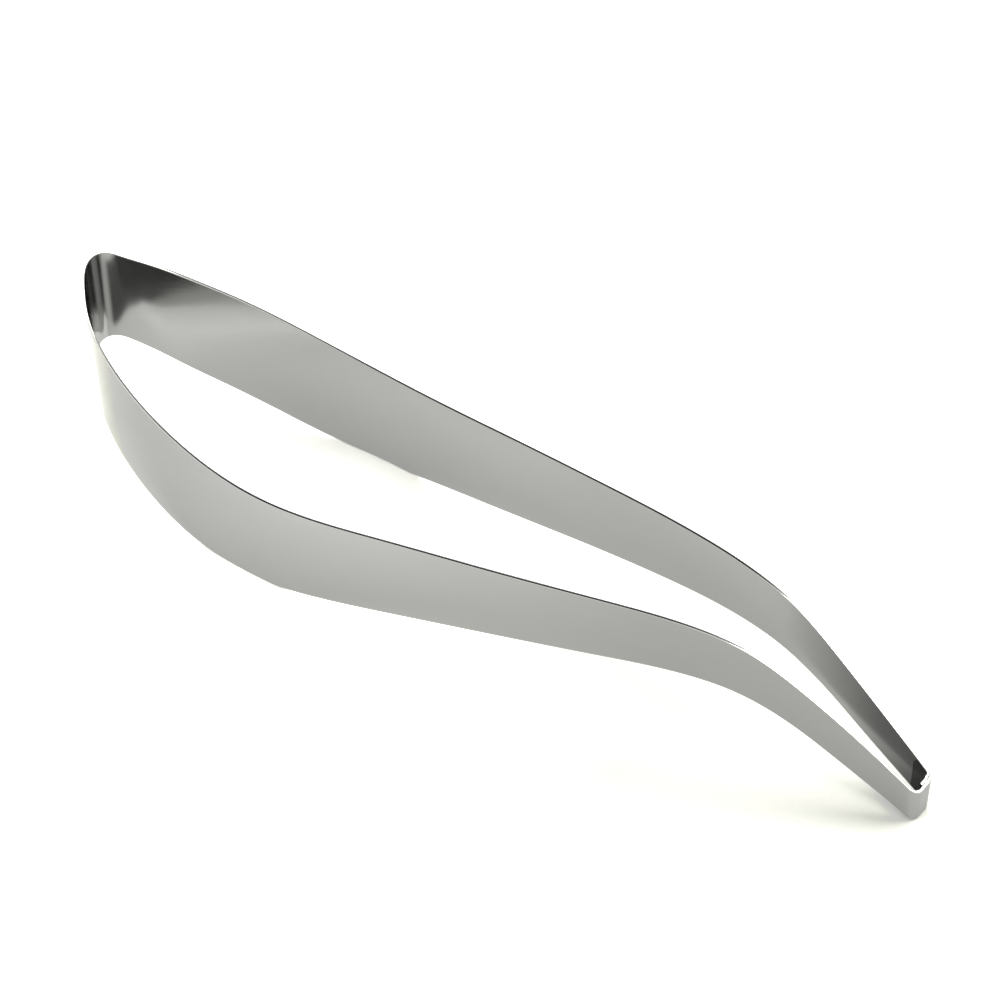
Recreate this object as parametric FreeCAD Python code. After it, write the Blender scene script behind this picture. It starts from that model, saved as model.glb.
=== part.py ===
# Sprung loop tongs: one thin steel strip bent into a long leaf-shaped loop and closed by a
# welded lap at the tail. The walls of the loop lean outward by a small, constant angle, so
# the sheet bends without stretching. Seen from above the loop is a leaf: a tight nose, a wide
# blade that goes round a slice, and a handle that narrows to the tail. Seen from the side the
# strip is an S: the nose is raised, the belly of the blade rests on the table, the handle
# rises, and the tail comes down to the table again.
#
# The steel bends along its whole length when it is squeezed. Here it is parted at six upright
# flex lines, three on each side, so that each stretch between two lines is one rigid piece.
#
# Axes: +X from nose to tail, +Y to the right of a person who holds the tail, +Z up.
# Origin: middle of the bounding box, on the table. Lengths are in millimetres.
import FreeCAD, Part
import math
import os

Vector = FreeCAD.Vector
UP = Vector(0, 0, 1)

# ---- strip ----
sheet_thickness = 0.8
wall_lean = 2.0             # degrees that the walls lean outward from upright
flex_gap = 0.3              # space left between two pieces at a flex line

# ---- plan of the outer face, at table level ----
length = 285.8              # from the nose to the face of the tail end
blade_half_width = 31.9     # at the widest place of the blade
blade_widest = 86.0         # distance of that place from the nose
grip_half_width = 18.3      # where two fingers hold the handle
grip_from_tail = 92.8
shoulder_half_width = 9.65  # where the handle turns down to the tail
shoulder_from_tail = 44.8
tail_half_width = 4.4
tail_corner_radius = 2.4

# ---- side view: heights of the lower and upper edges above the table ----
nose_low = 27.6
nose_high = 56.7
belly_flat_start = 77.0     # the stretch of the blade that rests on the table
belly_flat_end = 87.0
belly_high = 31.2
crest_low = 23.9            # highest place of the handle
crest_high = 41.5
crest_from_tail = 64.8
tail_high = 10.0

# ---- flex lines, measured along the loop's own axis ----
nose_flex = 8.0             # distance from the nose
grip_flex_from_tail = 100.8
tail_flex_from_tail = 13.3

# ---- lap of the two strip ends ----
lap_end = -0.4              # the inner end stops here, from the middle of the end face
lap_step = 1.2              # length of the inner end's step inward behind the outer end
seam_gap = 0.1              # between the square end of the outer layer and the strip beyond it
weld_radius = 1.0
weld_pitch = 3.4            # between the two spot welds, upright

# ---- worked out from the sizes above ----
lean = math.tan(math.radians(wall_lean))
above = 75.0                # a level above the whole loop
below = -5.0                # a level under the table
tail_corner = length - tail_corner_radius
grip_flex = length - grip_flex_from_tail
tail_flex = length - tail_flex_from_tail
steps = 64                  # points taken along the plan curve when it is shifted sideways


def spline(points, start, end):
    """Smooth curve through the points, with these directions at its two ends."""
    curve = Part.BSplineCurve()
    first = Vector(start).normalize()
    last = Vector(end).normalize()
    curve.interpolate(Points=points, InitialTangent=first, FinalTangent=last, Scale=False)
    return curve


# ---------------------------------------------------------------- plan

def side_plan():
    """Plan of the right side's outer face, from the nose to the tail corner."""
    leaf = [(0.0105, 0.134), (0.044, 0.262), (0.105, 0.423), (0.209, 0.595),
            (0.395, 0.790), (0.663, 0.9445)]
    points = [Vector(0, 0, 0)]
    points += [Vector(blade_widest * x, blade_half_width * y, 0) for x, y in leaf]
    points.append(Vector(blade_widest, blade_half_width, 0))
    taper = blade_half_width - grip_half_width
    middle = length - grip_from_tail - blade_widest
    points.append(Vector(blade_widest + 0.374 * middle, blade_half_width - 0.287 * taper, 0))
    points.append(Vector(length - grip_from_tail, grip_half_width, 0))
    points.append(Vector(length - shoulder_from_tail, shoulder_half_width, 0))
    points.append(Vector(tail_corner, tail_half_width, 0))
    return spline(points, Vector(0, 1, 0), Vector(1, -0.09, 0))


PLAN = side_plan()
PLAN_END = PLAN.LastParameter


def outward(parameter):
    direction = PLAN.tangent(parameter)[0]
    return Vector(-direction.y, direction.x, 0)


def mirrored(point):
    return Vector(point.x, -point.y, point.z)


def loop_wire(shift, level):
    """Closed plan wire, shifted outward from the outer face, at one level."""
    side = []
    for step in range(steps + 1):
        parameter = PLAN_END * (step / steps) ** 1.5
        side.append(PLAN.value(parameter) + outward(parameter) * shift + UP * level)
    right = side[-1]
    both = [mirrored(point) for point in reversed(side[1:])] + side
    parameters = [float(i) for i in range(len(both))]
    sides = Part.BSplineCurve()
    sides.interpolate(Points=both, Parameters=parameters)
    radius = tail_corner_radius + shift
    centre = Vector(right.x, right.y - radius, level)
    slant = radius * math.sqrt(0.5)
    middle = centre + Vector(slant, slant, 0)
    last = centre + Vector(radius, 0, 0)
    corner = Part.Arc(right, middle, last)
    end_face = Part.LineSegment(last, mirrored(last))
    other = Part.Arc(mirrored(last), mirrored(middle), mirrored(right))
    return Part.Wire([part.toShape() for part in (sides, corner, end_face, other)])


def loop_core(inset):
    """Everything inside a face that lies this far inside the outer face."""
    low = loop_wire(below * lean - inset, below)
    high = loop_wire(above * lean - inset, above)
    return Part.makeLoft([low, high], True, True)


def wall(outer_inset, inner_inset):
    return loop_core(outer_inset).cut(loop_core(inner_inset))


# ---------------------------------------------------------------- side view

def between(start, end, shares):
    """Points at these shares of the way from one point of the side view to another."""
    (x0, z0), (x1, z1) = start, end
    return [Vector(x0 + (x1 - x0) * x, 0, z0 + (z1 - z0) * z) for x, z in shares]


def lower_edge():
    """The strip's lower edge, in three curves: nose to belly, the flat, belly to tail."""
    nose = (0, nose_low)
    flat_start = (belly_flat_start, 0)
    flat_end = (belly_flat_end, 0)
    crest = (length - crest_from_tail, crest_low)
    tail = (length, 0)
    front = between(nose, flat_start, [(-0.078, -0.19), (-0.032, -0.088), (0.065, 0.168), (0.169, 0.411),
                                       (0.312, 0.614), (0.506, 0.80), (0.74, 0.954), (1, 1)])
    rear = between(flat_end, crest, [(0, 0), (0.09, 0.052), (0.209, 0.174), (0.470, 0.476),
                                     (0.791, 0.837), (1, 1)])
    rear += between(crest, tail, [(0.183, 0.014), (0.397, 0.166), (0.656, 0.503), (1, 1), (1.09, 1.14)])
    level = Vector(1, 0, 0)
    return [spline(front, Vector(1, 0, -0.95), level).toShape(),
            Part.makeLine(front[-1], rear[0]),
            spline(rear, level, Vector(1, 0, -0.55)).toShape()]


def upper_edge():
    nose = (0, nose_high)
    belly = (blade_widest, belly_high)
    crest = (length - crest_from_tail, crest_high)
    tail = (length, tail_high)
    points = between(nose, belly, [(-0.07, -0.245), (-0.035, -0.125), (0.017, 0.06), (0.081, 0.219),
                                   (0.186, 0.393), (0.372, 0.600), (0.698, 0.873), (1.06, 1)])
    points += between(belly, crest, [(0.326, 0.284), (0.585, 0.625), (0.844, 0.948), (1, 1)])
    points += between(crest, tail, [(0.26, 0.091), (0.473, 0.301), (0.718, 0.608), (1, 1), (1.09, 1.128)])
    return spline(points, Vector(1, 0, -1.05), Vector(1, 0, -0.68)).toShape()


def side_profile():
    """The S-shaped band that the strip fills when it is seen from the side."""
    lower = lower_edge()
    upper = upper_edge()
    tail_side = Part.makeLine(lower[-1].Vertexes[-1].Point, upper.Vertexes[-1].Point)
    nose_side = Part.makeLine(upper.Vertexes[0].Point, lower[0].Vertexes[0].Point)
    outline = Part.Wire(lower + [tail_side, upper, nose_side])
    reach = 2 * blade_half_width
    return Part.Face(outline).extrude(Vector(0, 2 * reach, 0)).translated(Vector(0, -reach, 0))


BAND = side_profile()


def mid_height(x):
    upright = Part.makeLine(Vector(x, 0, below), Vector(x, 0, above)).common(BAND)
    return (upright.BoundBox.ZMin + upright.BoundBox.ZMax) / 2


# ---------------------------------------------------------------- flex lines

def parameter_at(x):
    """Parameter of the plan curve at a distance from the nose along the axis."""
    low, high = 0.0, PLAN_END
    for _ in range(50):
        middle = (low + high) / 2
        if PLAN.value(middle).x < x:
            low = middle
        else:
            high = middle
    return low


def flex_point(x):
    """Middle of the sheet's thickness, at mid height, on the right side."""
    parameter = parameter_at(x)
    shift = mid_height(x) * lean - sheet_thickness / 2
    return PLAN.value(parameter) + outward(parameter) * shift


def flex_slots(x):
    """The upright gaps that part the strip on both sides, square to the sheet."""
    reach = tail_half_width
    slot = Part.makeBox(flex_gap, 2 * reach, above - below, Vector(-flex_gap / 2, -reach, below))
    direction = PLAN.tangent(parameter_at(x))[0]
    slot.rotate(Vector(0, 0, 0), UP, math.degrees(math.atan2(direction.y, direction.x)))
    slot.translate(flex_point(x))
    return [slot, slot.mirror(Vector(0, 0, 0), Vector(0, 1, 0))]


# ---------------------------------------------------------------- pieces

def divided_strip():
    """The outer layer of the whole loop, parted at its flex lines and at its seam."""
    cuts = []
    for x in (nose_flex, grip_flex, tail_flex):
        cuts += flex_slots(x)
    seam = Vector(tail_corner - seam_gap, 0, below)
    cuts.append(Part.makeBox(seam_gap, 2 * tail_half_width, above - below, seam))
    solids = wall(0, sheet_thickness).common(BAND).cut(cuts).Solids
    pieces = {}
    for solid in solids:
        centre = solid.CenterOfMass
        side = "right" if centre.y > 0 else "left"
        if centre.x < nose_flex:
            pieces["nose_bend"] = solid
        elif centre.x < grip_flex:
            pieces[side + "_blade"] = solid
        elif centre.x < tail_flex:
            pieces[side + "_handle"] = solid
        elif side == "left":
            pieces["tail_wrap"] = solid
        else:
            pieces["tail_tab"] = solid
    return pieces


def inner_layer():
    """Second thickness inside the tail end: the inner strip end, stepped in."""
    start = tail_corner - seam_gap - lap_step
    room = Part.makeBox(length, tail_half_width - lap_end, above - below, Vector(start, lap_end, below))
    return wall(sheet_thickness, 2 * sheet_thickness).common(BAND).common(room)


def spot_welds():
    """Two nuggets, one above the other, across the face where the layers meet."""
    across = (lap_end + tail_half_width - tail_corner_radius) / 2
    middle = mid_height(length - sheet_thickness)
    outward_normal = Vector(1, 0, -lean).normalize()
    nuggets = []
    for level in (middle - weld_pitch / 2, middle + weld_pitch / 2):
        joint = Vector(length - sheet_thickness + level * lean, across, level)
        base = joint - outward_normal * (sheet_thickness / 2)
        nuggets.append(Part.makeCylinder(weld_radius, sheet_thickness, base, outward_normal))
    return Part.Compound(nuggets)


def make_parts():
    parts = divided_strip()
    welds = spot_welds()
    parts["tail_tab"] = parts["tail_tab"].fuse(inner_layer()).removeSplitter().cut(welds)
    parts["tail_wrap"] = parts["tail_wrap"].cut(welds)
    parts["tail_spot_welds"] = welds
    return parts


parts = make_parts()
box = Part.Compound(list(parts.values())).optimalBoundingBox()
home = Vector(-box.Center.x, 0, 0)
os.makedirs("parts", exist_ok=True)
for name, shape in parts.items():
    shape.translated(home).exportStep("parts/" + name + ".step")
    print(name, "solids", len(shape.Solids), "volume", round(shape.Volume, 1), shape.isValid())
print("box", [round(v, 2) for v in (box.XLength, box.YLength, box.ZMin, box.ZMax)], "home", home.x)
for x in (nose_flex, grip_flex, tail_flex):
    print("flex line", [round(v, 3) for v in flex_point(x) + home])
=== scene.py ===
# Sprung loop tongs, bent from one polished stainless strip and closed by a welded lap.
#
# The strip is made as a sheet metal worker makes it: a flat blank is laid out as a grid, bent
# round the loop's plan with its walls leaning outward and its edges on the S of the side view,
# then given its thickness and its rounded rims. The loop is made in stretches.
#
# Axes are the frame's: +X from nose to tail, +Y to the right, +Z up, in metres.
import math

import bpy
import numpy as np
from mathutils import Matrix, Vector


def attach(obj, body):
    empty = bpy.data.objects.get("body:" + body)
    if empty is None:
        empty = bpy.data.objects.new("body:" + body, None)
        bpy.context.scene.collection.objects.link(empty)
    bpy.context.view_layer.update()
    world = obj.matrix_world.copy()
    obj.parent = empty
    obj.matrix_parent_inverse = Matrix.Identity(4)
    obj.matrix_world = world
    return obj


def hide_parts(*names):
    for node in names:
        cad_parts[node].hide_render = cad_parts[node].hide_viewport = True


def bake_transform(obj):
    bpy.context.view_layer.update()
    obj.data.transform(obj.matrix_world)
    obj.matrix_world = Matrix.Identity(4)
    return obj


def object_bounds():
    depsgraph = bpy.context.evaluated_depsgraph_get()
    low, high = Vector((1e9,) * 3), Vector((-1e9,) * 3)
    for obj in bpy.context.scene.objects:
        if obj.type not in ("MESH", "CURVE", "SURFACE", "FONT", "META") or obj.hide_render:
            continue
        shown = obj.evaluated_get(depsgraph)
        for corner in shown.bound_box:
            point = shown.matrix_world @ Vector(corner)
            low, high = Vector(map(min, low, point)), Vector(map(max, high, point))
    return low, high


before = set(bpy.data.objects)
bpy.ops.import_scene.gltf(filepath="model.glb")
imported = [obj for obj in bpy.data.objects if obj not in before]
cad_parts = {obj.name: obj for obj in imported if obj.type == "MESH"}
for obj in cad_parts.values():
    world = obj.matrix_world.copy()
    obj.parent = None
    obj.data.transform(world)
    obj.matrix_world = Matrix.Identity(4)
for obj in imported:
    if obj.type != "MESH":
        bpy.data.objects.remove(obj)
cad_low, cad_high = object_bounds()

MM = 0.001
UP = Vector((0, 0, 1))

# ---- strip ----
SHEET = 0.8 * MM
LEAN = math.tan(math.radians(2.0))       # how far the walls lean outward for each unit of height
RIM_RADIUS = 0.12 * MM                   # the rims are tumbled smooth, so no edge cuts a finger
RIM_SEGMENTS = 3
SMOOTH_ANGLE = math.radians(40)          # edges that turn more than this stay crisp
COLUMNS = 560                            # stations of the mesh along one side
MIDDLE_ROWS = 6
NOSE_CROWDING = 1.25                     # stations crowd toward the nose, where the bend is tight
CORNER_COLUMNS = 15                      # stations round a tail corner, and across the end face
EDGE_POINTS = 900                        # points taken along a side-view edge
LEVEL_PASSES = 8                         # passes that settle where a leaning wall meets an edge
RIM_ROW = 1.6 * RIM_RADIUS               # first row of the mesh behind a rim
LEFT_SIDE = np.array((1, -1, 1, -1))     # mirrors a station's place and outward direction

# ---- plan of the outer face at table level, from the nose ----
NOSE_X = cad_low.x + cad_high.z * LEAN   # the highest corner of the nose is also the foremost
LENGTH = 285.8 * MM
BLADE_HALF_WIDTH = 31.9 * MM
BLADE_WIDEST = 86.0 * MM
GRIP_HALF_WIDTH = 18.3 * MM
GRIP_FROM_TAIL = 92.8 * MM
SHOULDER_HALF_WIDTH = 9.65 * MM
SHOULDER_FROM_TAIL = 44.8 * MM
TAIL_HALF_WIDTH = 4.4 * MM
TAIL_CORNER = 2.4 * MM                   # distance from the start of the corner to the end face
TAIL_TAPER = 0.09                        # slope of the sides in plan where the corner starts

# ---- side view: heights of the lower and upper edges ----
NOSE_LOW = 27.6 * MM
NOSE_HIGH = 56.7 * MM
BELLY_FLAT_START = 77.0 * MM
BELLY_FLAT_END = 87.0 * MM
BELLY_HIGH = 31.2 * MM
CREST_LOW = 23.9 * MM
CREST_HIGH = 41.5 * MM
CREST_FROM_TAIL = 64.8 * MM
TAIL_HIGH = 10.0 * MM

# ---- lap of the two strip ends ----
LAP_END = -0.4 * MM                      # the inner end stops here, from the middle of the end face
LAP_TURN = 6                             # stations of the right corner that the outer end covers
JOGGLE = 1.6 * MM                        # run over which the inner end steps in behind the outer one
LAP_GAP = 0.01 * MM

# ---- flex lines of the frame, from the nose ----
TAIL_FLEX_FROM_TAIL = 13.29 * MM

# ---- seams between stretches ----
NOSE_SEAM = 6.5 * MM
BLADE_SEAM = BLADE_WIDEST
HANDLE_SEAM_FROM_TAIL = 52.0 * MM

# ---- finish, studio and camera ----
STEEL_ROUGHNESS = 0.12
HAZE = 0.03                              # how much the roughness goes up and down
TENT_GLOW = 1.30
LIFT = ((0.58, 0.58), (0.70, 1.0))       # light as it falls, and as it is shown
FLOOR_SIZE = 12.0
CAMERA_PLACE = (0.39383, -0.51841, 0.58387)
CAMERA_LENS = 110.53
CAMERA_AZIMUTH = 36.832
CAMERA_DOWN = 40.087
CAMERA_ROLL = 0.250
PAINTED_FALLOFF_TONES = (                          # painted shade on the paper: tones that stand in for light falling off along X, and where they lie along X
    (-0.17, "#dfdfde"), (-0.12, "#ededec"), (-0.07, "#f7f7f6"), (0.0, "#ebebe9"), (0.07, "#c8c8c6"),
)
RIM_BOX_PLACE = (0.55, 1.02, 1.20)       # overhead soft box, behind and to the right
RIM_BOX_SIZE = (1.1, 0.9)
RIM_BOX_POWER = 6.0
# black cards that show only in the steel. The ceiling flag hangs overhead; the cards in the loop are
# painted shadow, standing in for the shade inside the loop. Each has a name, middle, size across and
# up, the way it faces, and how dense its cloth is at some shares of the way from the left end to the
# right end, for someone who looks at its face
FLAGS_AND_PAINTED_SHADOWS = (
    ("ceiling_flag", (-0.85, 1.57, 1.20), (3.4, 1.7), (1.15, -1.30, -1.20),
     ((0, 1), (0.62, 1), (1, 0.1))),
    ("nose_painted_shadow", (-0.093, -0.001, 0.012), (0.062, 0.024), (-1, 0, 0),
     ((0.0, 0.95), (0.05, 0.95), (0.153, 0.3), (0.277, 0.3), (0.435, 0.9), (1, 0.9))),
    ("tail_painted_shadow", (0.104, -0.0084, 0.010), (0.0746, 0.020), (-0.135, 0.99, 0),
     ((0.0, 0.82), (0.35, 0.72), (1, 0.05))),
    ("tail_floor_painted_shadow", (0.121, -0.0016, 0.0003), (0.040, 0.0088), (0.0027, -0.02, 1),
     ((0, 0), (1, 0.8))),
    ("tail_end_painted_shadow", (0.1375, 0.0, 0.006), (0.010, 0.012), (1, 0, 0), ((0, 0.6), (1, 0.6))),
)


# ---------------------------------------------------------------- outlines

def unit(direction):
    return np.array(direction, float) / np.linalg.norm(direction)


def spline(points, start, end, count, crowding=1.0):
    """Places and directions along the smooth curve through the points, led in and out as told."""
    points = np.array(points, float)
    spans = np.linalg.norm(np.diff(points, axis=0), axis=1)
    knots = np.concatenate(([0.0], np.cumsum(spans)))
    last = len(points) - 1
    rows = np.eye(last + 1)
    sides = np.zeros_like(points)
    sides[0] = unit(start)
    sides[last] = unit(end)
    for i in range(1, last):
        before, after = spans[i - 1], spans[i]
        rows[i, i - 1:i + 2] = after, 2 * (before + after), before
        sides[i] = 3 * (after / before * (points[i] - points[i - 1])
                        + before / after * (points[i + 1] - points[i]))
    slopes = np.linalg.solve(rows, sides)
    at = knots[-1] * np.linspace(0, 1, count) ** crowding
    k = np.clip(np.searchsorted(knots, at, side="right") - 1, 0, last - 1)
    span = spans[k][:, None]
    t = (at - knots[k])[:, None] / span
    p, q, m, n = points[k], points[k + 1], slopes[k] * span, slopes[k + 1] * span
    places = (p * (1 + 2 * t) * (1 - t) ** 2 + q * t * t * (3 - 2 * t)
              + m * t * (1 - t) ** 2 - n * t * t * (1 - t))
    directions = 6 * t * (1 - t) * (q - p) + m * (1 - t) * (1 - 3 * t) + n * t * (3 * t - 2)
    return places, directions / np.linalg.norm(directions, axis=1)[:, None]


def between(start, end, shares):
    """Points at these shares of the way from one point of the side view to another."""
    return [(start[0] + (end[0] - start[0]) * x, start[1] + (end[1] - start[1]) * z) for x, z in shares]


def side_plan():
    """Plan of the right side's outer face, nose to tail corner: places and outward directions."""
    leaf = [(0.0105, 0.134), (0.044, 0.262), (0.105, 0.423), (0.209, 0.595),
            (0.395, 0.790), (0.663, 0.9445)]
    points = [(0, 0)]
    points += [(BLADE_WIDEST * x, BLADE_HALF_WIDTH * y) for x, y in leaf]
    points.append((BLADE_WIDEST, BLADE_HALF_WIDTH))
    taper = BLADE_HALF_WIDTH - GRIP_HALF_WIDTH
    middle = LENGTH - GRIP_FROM_TAIL - BLADE_WIDEST
    points.append((BLADE_WIDEST + 0.374 * middle, BLADE_HALF_WIDTH - 0.287 * taper))
    points.append((LENGTH - GRIP_FROM_TAIL, GRIP_HALF_WIDTH))
    points.append((LENGTH - SHOULDER_FROM_TAIL, SHOULDER_HALF_WIDTH))
    points.append((LENGTH - TAIL_CORNER, TAIL_HALF_WIDTH))
    places, directions = spline(points, (0, 1), (1, -TAIL_TAPER), COLUMNS, NOSE_CROWDING)
    return np.column_stack((places, -directions[:, 1], directions[:, 0]))


def corner_plan():
    """The right tail corner, a round that leads from the side into the end face."""
    turn = math.atan(TAIL_TAPER)
    radius = TAIL_CORNER / (1 - math.sin(turn))
    angles = np.linspace(math.pi / 2 - turn, 0, CORNER_COLUMNS)
    outward = np.column_stack((np.cos(angles), np.sin(angles)))
    centre = np.array((LENGTH - radius, TAIL_HALF_WIDTH - radius * math.cos(turn)))
    return np.column_stack((centre + radius * outward, outward))


def end_face_plan(start, end):
    """Stations across the flat end face, between two distances from its middle."""
    return np.array([(LENGTH, y, 1, 0) for y in np.linspace(start, end, CORNER_COLUMNS)])


def lower_edge():
    """The strip's lower edge in the side view: places and heights."""
    nose = (0, NOSE_LOW)
    flat_start = (BELLY_FLAT_START, 0)
    flat_end = (BELLY_FLAT_END, 0)
    crest = (LENGTH - CREST_FROM_TAIL, CREST_LOW)
    tail = (LENGTH, 0)
    front = between(nose, flat_start, [(-0.078, -0.19), (-0.032, -0.088), (0.065, 0.168),
                                       (0.169, 0.411), (0.312, 0.614), (0.506, 0.80),
                                       (0.74, 0.954), (1, 1)])
    rear = between(flat_end, crest, [(0, 0), (0.09, 0.052), (0.209, 0.174), (0.470, 0.476),
                                     (0.791, 0.837), (1, 1)])
    rear += between(crest, tail, [(0.183, 0.014), (0.397, 0.166), (0.656, 0.503),
                                  (1, 1), (1.09, 1.14)])
    front_places, _ = spline(front, (1, -0.95), (1, 0), EDGE_POINTS)
    rear_places, _ = spline(rear, (1, 0), (1, -0.55), EDGE_POINTS)
    return np.vstack((front_places, rear_places)).T


def upper_edge():
    """The strip's upper edge in the side view: places and heights."""
    nose = (0, NOSE_HIGH)
    belly = (BLADE_WIDEST, BELLY_HIGH)
    crest = (LENGTH - CREST_FROM_TAIL, CREST_HIGH)
    tail = (LENGTH, TAIL_HIGH)
    points = between(nose, belly, [(-0.07, -0.245), (-0.035, -0.125), (0.017, 0.06),
                                   (0.081, 0.219), (0.186, 0.393), (0.372, 0.600),
                                   (0.698, 0.873), (1.06, 1)])
    points += between(belly, crest, [(0.326, 0.284), (0.585, 0.625), (0.844, 0.948), (1, 1)])
    points += between(crest, tail, [(0.26, 0.091), (0.473, 0.301), (0.718, 0.608),
                                    (1, 1), (1.09, 1.128)])
    places, _ = spline(points, (1, -1.05), (1, -0.68), EDGE_POINTS)
    return places.T


# ---------------------------------------------------------------- strip work

LOWER_EDGE = lower_edge()
UPPER_EDGE = upper_edge()


def laid_out(plan):
    """Adds to each station its depth behind the outer face, none yet, and its place along the blank."""
    steps = np.linalg.norm(np.diff(plan[:, :2], axis=0), axis=1)
    along = np.concatenate(([0.0], np.cumsum(steps)))
    return np.column_stack((plan, np.zeros(len(plan)), along))


def level_on(edge, stations, depth):
    """Height at which a face of the leaning wall meets a side-view edge, at each station."""
    level = np.zeros(len(stations))
    for _ in range(LEVEL_PASSES):
        level = np.interp(stations[:, 0] + stations[:, 2] * (LEAN * level - depth), *edge)
    return level


def bent_face(stations, inward):
    """Points of one face of the strip, row by row upward, this far in from its outer face."""
    place_x, place_y, out_x, out_y, depth, _ = stations.T
    depth = depth + inward
    low = level_on(LOWER_EDGE, stations, depth)
    high = level_on(UPPER_EDGE, stations, depth)
    middle = np.linspace(low + RIM_ROW, high - RIM_ROW, MIDDLE_ROWS)
    levels = np.vstack((low, middle, high))
    shift = LEAN * levels - depth
    points = (NOSE_X + place_x + out_x * shift, place_y + out_y * shift, levels)
    return np.stack(points, axis=2).reshape(-1, 3)


def bent_blank(name, stations):
    """One stretch of the strip with square rims: a flat grid, thickened and bent to the stations."""
    bpy.ops.object.select_all(action="DESELECT")
    bpy.ops.mesh.primitive_grid_add(x_subdivisions=len(stations) - 1,
                                    y_subdivisions=MIDDLE_ROWS + 1, size=1)
    strip = bpy.context.object
    strip.name = name
    strip.data.name = name
    outer = bent_face(stations, 0)
    inner = bent_face(stations, SHEET)
    strip.data.vertices.foreach_set("co", outer.ravel())
    along = np.tile(stations[:, 5], MIDDLE_ROWS + 2)
    flat = np.column_stack((along, outer[:, 2]))
    corners = np.zeros(len(strip.data.loops), int)
    strip.data.loops.foreach_get("vertex_index", corners)
    strip.data.uv_layers.active.data.foreach_set("uv", flat[corners].ravel())
    sheet = strip.modifiers.new("sheet", "SOLIDIFY")
    sheet.thickness = SHEET
    sheet.offset = -1
    bpy.ops.object.modifier_apply(modifier=sheet.name)
    strip.data.vertices.foreach_set("co", np.vstack((outer, inner)).ravel())
    return strip


def round_rims(strip, columns, cut_ends):
    """Rounds the two long rims of a stretch, and the edges round its cut ends."""
    one_face = columns * (MIDDLE_ROWS + 2)
    ends = [0 if end == "first" else columns - 1 for end in cut_ends]
    bpy.ops.object.mode_set(mode="EDIT")
    bpy.ops.mesh.select_mode(type="EDGE")
    bpy.ops.mesh.select_all(action="DESELECT")
    bpy.ops.object.mode_set(mode="OBJECT")
    for edge in strip.data.edges:
        start, end = edge.vertices
        if (start < one_face) != (end < one_face):
            continue
        row, next_row = (v % one_face // columns for v in (start, end))
        column, next_column = (v % one_face % columns for v in (start, end))
        long_rim = row == next_row and row in (0, MIDDLE_ROWS + 1)
        upright_rim = column == next_column and column in ends
        edge.select = long_rim or upright_rim
    bpy.ops.object.mode_set(mode="EDIT")
    bpy.ops.mesh.bevel(offset=RIM_RADIUS, segments=RIM_SEGMENTS, affect="EDGES")
    bpy.ops.mesh.select_all(action="SELECT")
    bpy.ops.mesh.normals_make_consistent(inside=False)
    bpy.ops.object.mode_set(mode="OBJECT")


def strip_stretch(name, stations, cut_ends=()):
    """One stretch of the strip, closed all round, with rounded rims."""
    strip = bent_blank(name, stations)
    round_rims(strip, len(stations), cut_ends)
    bpy.ops.object.shade_smooth_by_angle(angle=SMOOTH_ANGLE)
    strip.data.materials.append(STEEL)
    return strip


def step_in(along, outer_end):
    """How far the inner end of the strip has stepped in before it slips behind the outer end."""
    share = np.clip((outer_end + JOGGLE - along) / JOGGLE, 0, 1)
    return (SHEET + LAP_GAP) * share * share * (3 - 2 * share)


def over_flex(strip):
    """Bakes a stretch's place into its mesh."""
    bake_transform(strip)


def make_side(side, loop, nose, blade, handle):
    """The two stretches of one side, from the nose bend to the handle. Seams are places in the loop."""
    blade_strip = strip_stretch(side + "_blade_strip", loop[min(nose, blade):max(nose, blade) + 1])
    over_flex(blade_strip)
    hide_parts(side + "_blade")
    grip_strip = strip_stretch(side + "_grip_strip", loop[min(blade, handle):max(blade, handle) + 1])
    over_flex(grip_strip)
    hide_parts(side + "_handle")


def make_lap(right, corner, tail):
    """The strip's inner end, from behind the tail's end face to the right side's tail flex line."""
    behind_face = end_face_plan(LAP_END, corner[-1, 1])[:-1]
    stations = laid_out(np.vstack((behind_face, corner[::-1], right[tail:][::-1][1:])))
    outer_end = len(behind_face) + LAP_TURN - 1
    stations[:, 4] = step_in(stations[:, 5], stations[outer_end, 5])
    lap = strip_stretch("tail_lap_strip", stations, cut_ends=("first",))
    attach(lap, "tail")
    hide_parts("tail_tab")


def make_strip():
    """The whole loop, walked from the right tail corner to the nose and back round the tail end."""
    right = side_plan()
    left = right * LEFT_SIDE
    corner = corner_plan()
    reach = corner[-1, 1]
    face = end_face_plan(-reach, reach)
    covered = corner[::-1][:LAP_TURN]
    loop = laid_out(np.vstack((right[::-1], left[1:], (corner * LEFT_SIDE)[1:], face[1:-1], covered)))
    tip = len(right) - 1
    seams = (NOSE_SEAM, BLADE_SEAM, LENGTH - HANDLE_SEAM_FROM_TAIL, LENGTH - TAIL_FLEX_FROM_TAIL)
    nose, blade, handle, tail = np.searchsorted(right[:, 0], seams)

    nose_bend = strip_stretch("nose_bend_strip", loop[tip - nose:tip + nose + 1])
    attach(nose_bend, "nose")
    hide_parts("nose_bend")

    make_side("right", loop, tip - nose, tip - blade, tip - handle)
    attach(strip_stretch("right_tail_strip", loop[tip - tail:tip - handle + 1]), "right_handle")
    make_side("left", loop, tip + nose, tip + blade, tip + handle)

    wrap = strip_stretch("tail_wrap_strip", loop[tip + handle:], cut_ends=("last",))
    over_flex(wrap)
    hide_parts("tail_wrap")
    make_lap(right, corner, tail)


# ---------------------------------------------------------------- materials

def linear(colour):
    """An sRGB hex colour as linear RGBA."""
    channels = [int(colour[i:i + 2], 16) / 255 for i in (1, 3, 5)]
    return [c / 12.92 if c <= 0.04045 else ((c + 0.055) / 1.055) ** 2.4 for c in channels] + [1.0]


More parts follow.
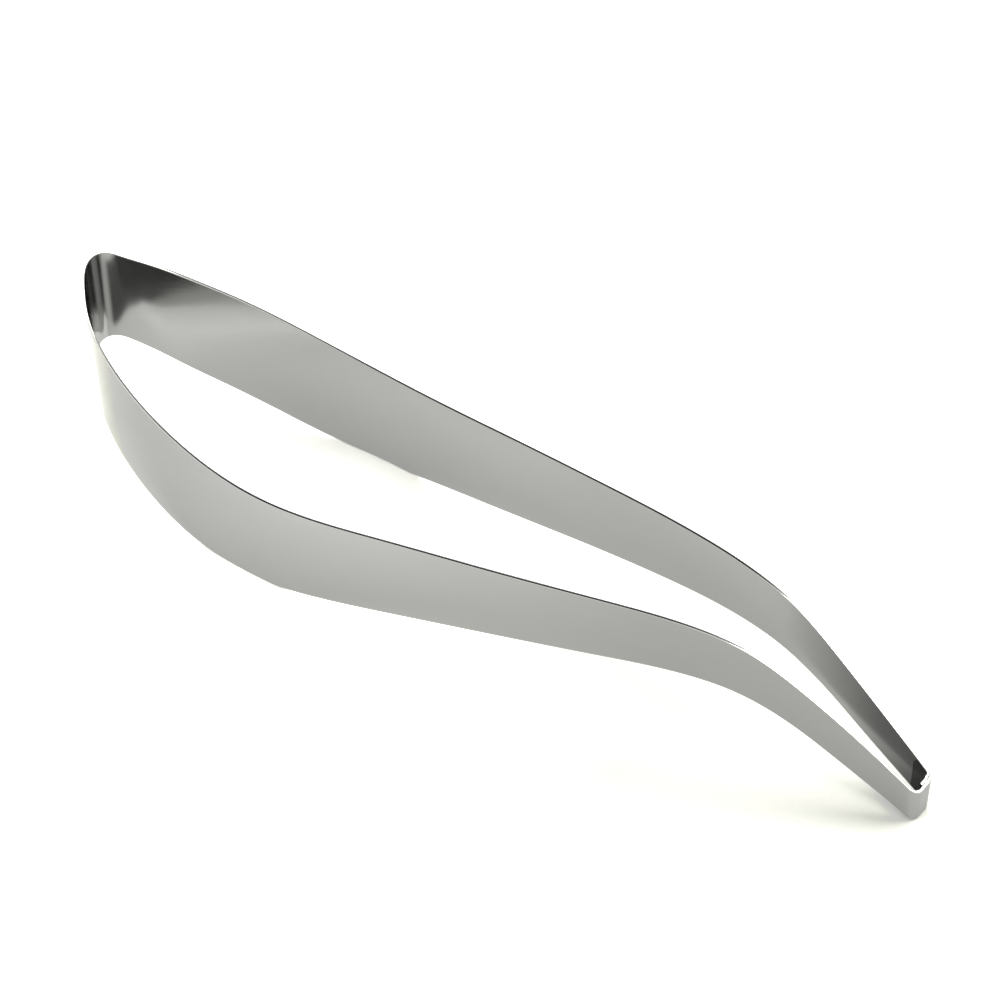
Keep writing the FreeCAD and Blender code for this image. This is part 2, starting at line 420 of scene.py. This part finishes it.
def add_node(tree, kind, settings=None, **inputs):
    """Adds a node. An input is a value, or the output socket that feeds it."""
    node = tree.nodes.new(kind)
    for name, value in (settings or {}).items():
        setattr(node, name, value)
    for name, value in inputs.items():
        socket = node.inputs[name.replace("_", " ")]
        if isinstance(value, bpy.types.NodeSocket):
            tree.links.new(value, socket)
        else:
            socket.default_value = value
    return node


def new_material(name):
    material = bpy.data.materials.new(name)
    material.use_nodes = True
    material.node_tree.nodes.clear()
    return material, material.node_tree


def polished_steel():
    """18/8 stainless strip, cold rolled and buffed along its length: a soft mirror in a neutral
    grey with a breath of green, hazed unevenly by the buffing wheel and by fingers."""
    material, tree = new_material("polished_stainless_strip")
    blank = add_node(tree, "ShaderNodeTexCoord").outputs["UV"]
    # buffing lines: 30 mm long and 0.02 mm wide on the steel, drawn 0.25 mm wide so that they show
    lines = add_node(tree, "ShaderNodeMapping", Vector=blank, Scale=(1 / (30 * MM), 1 / (0.25 * MM), 1))
    grain = add_node(tree, "ShaderNodeTexNoise", Vector=lines.outputs["Vector"], Scale=1.0, Detail=3.0)
    # haze: patches some 30 mm long and 12 mm high
    patches = add_node(tree, "ShaderNodeMapping", Vector=blank, Scale=(1 / (30 * MM), 1 / (12 * MM), 1))
    haze = add_node(tree, "ShaderNodeTexNoise", Vector=patches.outputs["Vector"], Scale=1.0, Detail=2.0)
    mixed = add_node(tree, "ShaderNodeMix", {"data_type": "FLOAT"}, Factor=0.35)
    tree.links.new(haze.outputs["Fac"], mixed.inputs["A"])
    tree.links.new(grain.outputs["Fac"], mixed.inputs["B"])
    roughness = add_node(tree, "ShaderNodeMapRange", Value=mixed.outputs["Result"],
                         From_Min=0.3, From_Max=0.7, To_Min=STEEL_ROUGHNESS - HAZE,
                         To_Max=STEEL_ROUGHNESS + HAZE)
    tone = add_node(tree, "ShaderNodeMix", {"data_type": "RGBA"})
    tree.links.new(mixed.outputs["Result"], tone.inputs["Factor"])
    tone.inputs["A"].default_value = linear("#babab8")
    tone.inputs["B"].default_value = linear("#c0c0be")
    # rolling waves: 40 mm long, 15 mm high and at most 0.02 mm deep
    waves = add_node(tree, "ShaderNodeMapping", Vector=blank, Scale=(1 / (40 * MM), 1 / (15 * MM), 1))
    rolled = add_node(tree, "ShaderNodeTexNoise", Vector=waves.outputs["Vector"], Scale=1.0, Detail=1.0)
    relief = add_node(tree, "ShaderNodeBump", Height=rolled.outputs["Fac"], Strength=1.0,
                      Distance=0.02 * MM)
    fine = add_node(tree, "ShaderNodeBump", Height=grain.outputs["Fac"], Strength=1.0,
                    Distance=0.0004 * MM, Normal=relief.outputs["Normal"])
    steel = add_node(tree, "ShaderNodeBsdfPrincipled", Metallic=1.0, Roughness=roughness.outputs["Result"],
                     Base_Color=tone.outputs["Result"], Normal=fine.outputs["Normal"])
    add_node(tree, "ShaderNodeOutputMaterial", Surface=steel.outputs["BSDF"])
    return material


def weld_steel():
    """Resistance weld nuggets: the same steel, melted and set, so dull and straw to blue."""
    material, tree = new_material("heat_tinted_weld_steel")
    place = add_node(tree, "ShaderNodeTexCoord").outputs["Object"]
    # grains of the cast metal, about 0.4 mm across
    cast = add_node(tree, "ShaderNodeTexNoise", Vector=place, Scale=1 / (0.4 * MM), Detail=3.0)
    tint = add_node(tree, "ShaderNodeValToRGB", Fac=cast.outputs["Fac"])
    tint.color_ramp.elements[0].position = 0.35
    tint.color_ramp.elements[0].color = linear("#8d8f96")
    tint.color_ramp.elements[1].position = 0.65
    tint.color_ramp.elements[1].color = linear("#a89f8c")
    roughness = add_node(tree, "ShaderNodeMapRange", Value=cast.outputs["Fac"], To_Min=0.35, To_Max=0.55)
    pits = add_node(tree, "ShaderNodeBump", Height=cast.outputs["Fac"], Strength=0.6, Distance=0.02 * MM)
    steel = add_node(tree, "ShaderNodeBsdfPrincipled", Metallic=1.0, Roughness=roughness.outputs["Result"],
                     Base_Color=tint.outputs["Color"], Normal=pits.outputs["Normal"])
    add_node(tree, "ShaderNodeOutputMaterial", Surface=steel.outputs["BSDF"])
    return material


def studio_paper_with_painted_falloff():
    """Studio paper with painted shade: white shading off to pearl along X, as falling light would shade it,
    with a very faint tooth.
    """
    material, tree = new_material("painted_falloff_studio_paper")
    place = add_node(tree, "ShaderNodeTexCoord").outputs["Object"]
    tooth = add_node(tree, "ShaderNodeTexNoise", Vector=place, Scale=1 / (2 * MM), Detail=2.0)
    relief = add_node(tree, "ShaderNodeBump", Height=tooth.outputs["Fac"], Strength=0.1, Distance=0.05 * MM)
    first, last = PAINTED_FALLOFF_TONES[0][0], PAINTED_FALLOFF_TONES[-1][0]
    along = add_node(tree, "ShaderNodeSeparateXYZ", Vector=place)
    share = add_node(tree, "ShaderNodeMapRange", Value=along.outputs["X"], From_Min=first, From_Max=last)
    # painted shade: the paper's tone goes lighter and darker along X, as falling light would shade it
    tone = add_node(tree, "ShaderNodeValToRGB", Fac=share.outputs["Result"])
    tone.color_ramp.interpolation = "B_SPLINE"
    for _ in PAINTED_FALLOFF_TONES[2:]:
        tone.color_ramp.elements.new(0.5)
    for stop, (x, shade) in zip(tone.color_ramp.elements, PAINTED_FALLOFF_TONES):
        stop.position = (x - first) / (last - first)
        stop.color = linear(shade)
    paper = add_node(tree, "ShaderNodeBsdfPrincipled", Base_Color=tone.outputs["Color"], Roughness=0.95,
                     Normal=relief.outputs["Normal"])
    paper.inputs["Specular IOR Level"].default_value = 0.0
    add_node(tree, "ShaderNodeOutputMaterial", Surface=paper.outputs["BSDF"])
    return material


def flag_or_painted_shadow_cloth(density):
    """Black cloth, seen from its face only, so that it darkens what looks at it and no more. Overhead it is
    a flag's cloth; on the cards in the loop it is painted shadow, standing in for the shade there.
    """
    material, tree = new_material("black_flag_or_painted_shadow_cloth")
    place = add_node(tree, "ShaderNodeTexCoord").outputs["Object"]
    weave = add_node(tree, "ShaderNodeTexNoise", Vector=place, Scale=1 / (3 * MM), Detail=2.0)
    nap = add_node(tree, "ShaderNodeBump", Height=weave.outputs["Fac"], Strength=0.2, Distance=0.2 * MM)
    # near black; on the cards in the loop this is painted shadow
    cloth = add_node(tree, "ShaderNodeBsdfDiffuse", Color=linear("#1c1c1c"), Normal=nap.outputs["Normal"])
    clear = add_node(tree, "ShaderNodeBsdfTransparent")
    back = add_node(tree, "ShaderNodeNewGeometry")
    along = add_node(tree, "ShaderNodeSeparateXYZ", Vector=place)
    share = add_node(tree, "ShaderNodeMath", {"operation": "ADD"})
    tree.links.new(along.outputs["X"], share.inputs[0])
    share.inputs[1].default_value = 0.5
    # how dense the cloth is, and so how deep the painted shadow, from the card's left end to its right
    density_ramp = add_node(tree, "ShaderNodeValToRGB", Fac=share.outputs["Value"])
    for _ in density[2:]:
        density_ramp.color_ramp.elements.new(0.5)
    for stop, (position, closed) in zip(density_ramp.color_ramp.elements, density):
        stop.position = position
        stop.color = (1 - closed, 1 - closed, 1 - closed, 1)
    see_through = add_node(tree, "ShaderNodeMath", {"operation": "MAXIMUM"})
    tree.links.new(density_ramp.outputs["Color"], see_through.inputs[0])
    tree.links.new(back.outputs["Backfacing"], see_through.inputs[1])
    either = add_node(tree, "ShaderNodeMixShader", Fac=see_through.outputs["Value"])
    tree.links.new(cloth.outputs["BSDF"], either.inputs[1])
    tree.links.new(clear.outputs["BSDF"], either.inputs[2])
    add_node(tree, "ShaderNodeOutputMaterial", Surface=either.outputs["Shader"])
    return material


# ---------------------------------------------------------------- studio

def make_flag_or_painted_shadow(name, middle, size, facing, density):
    """A black card that shows only in the steel and throws no shadow on the paper: a flag overhead, or
    painted shadow inside the loop, standing in for the shade there.
    """
    bpy.ops.object.select_all(action="DESELECT")
    bpy.ops.mesh.primitive_plane_add(size=1, location=middle)
    card = bpy.context.object
    card.name = name
    card.scale = (*size, 1)
    toward = Vector(facing).normalized()
    across = UP.cross(toward).normalized()
    card.rotation_euler = Matrix((across, toward.cross(across), toward)).transposed().to_euler()
    card.data.materials.append(flag_or_painted_shadow_cloth(density))
    card.visible_camera = False
    card.visible_diffuse = False
    card.visible_shadow = False


def make_studio():
    bpy.ops.object.select_all(action="DESELECT")
    bpy.ops.mesh.primitive_plane_add(size=FLOOR_SIZE, location=(0, 0, cad_low.z))
    floor = bpy.context.object
    floor.name = "studio_floor"
    floor.data.materials.append(studio_paper_with_painted_falloff())

    world = bpy.data.worlds.new("light_tent")
    bpy.context.scene.world = world
    world.use_nodes = True
    tree = world.node_tree
    tree.nodes.clear()
    glow = add_node(tree, "ShaderNodeBackground", Color=linear("#fbfbfa"), Strength=TENT_GLOW)
    add_node(tree, "ShaderNodeOutputWorld", Surface=glow.outputs["Background"])

    data = bpy.data.lights.new("rim_box", "AREA")
    data.shape = "RECTANGLE"
    data.size, data.size_y = RIM_BOX_SIZE
    data.energy = RIM_BOX_POWER
    light = bpy.data.objects.new("rim_box", data)
    bpy.context.scene.collection.objects.link(light)
    light.location = RIM_BOX_PLACE
    light.rotation_euler = (-Vector(RIM_BOX_PLACE)).to_track_quat("-Z", "Y").to_euler()

    for flag in FLAGS_AND_PAINTED_SHADOWS:
        make_flag_or_painted_shadow(*flag)


def lift_whites():
    """Prints the pale paper, painted shade and all, as white, and leaves the tones of the steel as they
    are.
    """
    view = bpy.context.scene.view_settings
    view.view_transform = "Standard"
    view.use_curve_mapping = True
    tones = view.curve_mapping.curves[3]
    for shade, shown in LIFT:
        tones.points.new(shade, shown).handle_type = "VECTOR"
    view.curve_mapping.update()


def make_camera():
    data = bpy.data.cameras.new("camera")
    data.lens = CAMERA_LENS
    data.sensor_width = 36.0
    data.clip_start, data.clip_end = 0.01, 100.0
    camera = bpy.data.objects.new("camera", data)
    bpy.context.scene.collection.objects.link(camera)
    camera.matrix_world = (Matrix.Translation(CAMERA_PLACE)
                           @ Matrix.Rotation(math.radians(CAMERA_AZIMUTH), 4, "Z")
                           @ Matrix.Rotation(math.radians(90 - CAMERA_DOWN), 4, "X")
                           @ Matrix.Rotation(math.radians(-CAMERA_ROLL), 4, "Z"))
    bpy.context.scene.camera = camera


STEEL = polished_steel()
make_strip()
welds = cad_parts["tail_spot_welds"]
welds.data.materials.clear()
welds.data.materials.append(weld_steel())
make_studio()
make_camera()
lift_whites()
